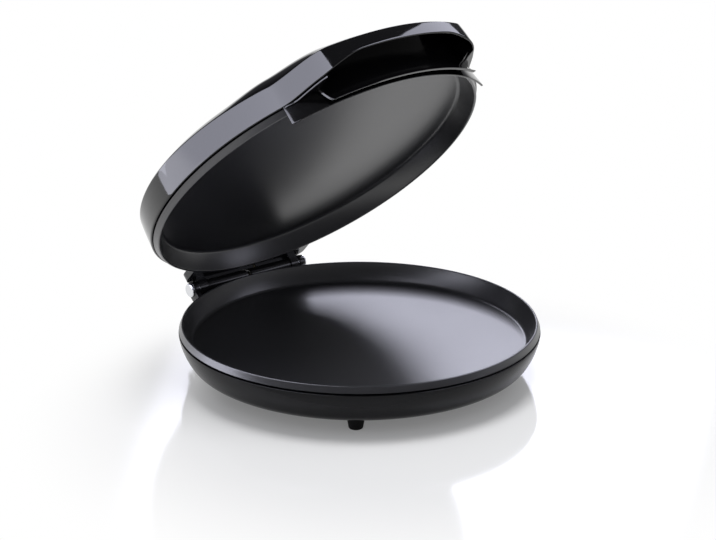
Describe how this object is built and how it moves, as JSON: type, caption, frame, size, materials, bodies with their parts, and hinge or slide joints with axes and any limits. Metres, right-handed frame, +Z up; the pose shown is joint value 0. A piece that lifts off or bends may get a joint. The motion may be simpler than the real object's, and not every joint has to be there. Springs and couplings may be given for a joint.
{
  "type": "electric pizza maker",
  "caption": "Countertop clamshell pizza cooker with two round non-stick pans, a domed glossy lid with a raised front visor, and a rear hinge.",
  "frame": {"origin": "on the table under the centre of the lower pan", "axes": "+Z up, -Y to the front (the visor side), +Y to the hinge, +X to the right seen from the front"},
  "size_m": [0.3298, 0.357, 0.328],
  "materials": {
    "gloss_black": "polished moulded thermoset",
    "hinge_black": "semi-gloss moulded plastic",
    "base_black": "satin moulded plastic",
    "nonstick": "matt dark non-stick coating over a casting",
    "foot_rubber": "soft matt rubber",
    "heater_steel": "dull heater sheath",
    "zinc": "zinc-plated steel",
    "bright_alu": "bright rolled sheet",
    "ceramic": "unglazed cream ceramic",
    "sleeving": "woven heat-proof sleeving",
    "red_lens": "clear red lens",
    "green_lens": "clear green lens",
    "capsule": "pearl lamp capsule",
    "pin_steel": "ground steel",
    "cap_metal": "polished plated metal"
  },
  "bodies": {
    "base": {"base_housing": "base_black", "foot_front_left": "foot_rubber", "foot_front_right": "foot_rubber", "foot_rear_left": "foot_rubber", "foot_rear_right": "foot_rubber", "lower_plate": "nonstick", "base_screws": "zinc", "lower_heater": "heater_steel", "lower_heater_clips": "zinc", "lower_clip_screws": "zinc", "lower_thermostat": "ceramic", "lower_thermal_fuse": "ceramic", "lower_reflector": "bright_alu", "terminal_block": "ceramic", "base_wiring": "sleeving", "cord_bush": "foot_rubber", "hinge_ear_left": "hinge_black", "hinge_ear_right": "hinge_black", "ear_screws": "zinc", "hinge_caps": "cap_metal"},
    "lid": {"lid_shell": "gloss_black", "shell_studs": "hinge_black", "rim_guard": "gloss_black", "finger_grip": "gloss_black", "hinge_cover": "hinge_black", "hinge_pin_left": "pin_steel", "hinge_pin_right": "pin_steel", "hinge_washers": "pin_steel", "hinge_barrel_left": "hinge_black", "hinge_barrel_right": "hinge_black", "upper_plate": "nonstick", "plate_screws": "zinc", "upper_heater": "heater_steel", "upper_heater_clips": "zinc", "upper_clip_screws": "zinc", "upper_thermostat": "ceramic", "upper_thermal_fuse": "ceramic", "upper_reflector": "bright_alu", "reflector_nuts": "zinc", "lid_wiring": "sleeving", "power_lens": "red_lens", "ready_lens": "green_lens", "lamp_capsules": "capsule"}
  },
  "joints": [
    {"name": "lid_hinge", "type": "hinge", "parent": "base", "child": "lid", "pos_m": [0, 0.171, 0.045], "axis": [-1, 0, 0], "range_deg": [-46, 49]}
  ]
}
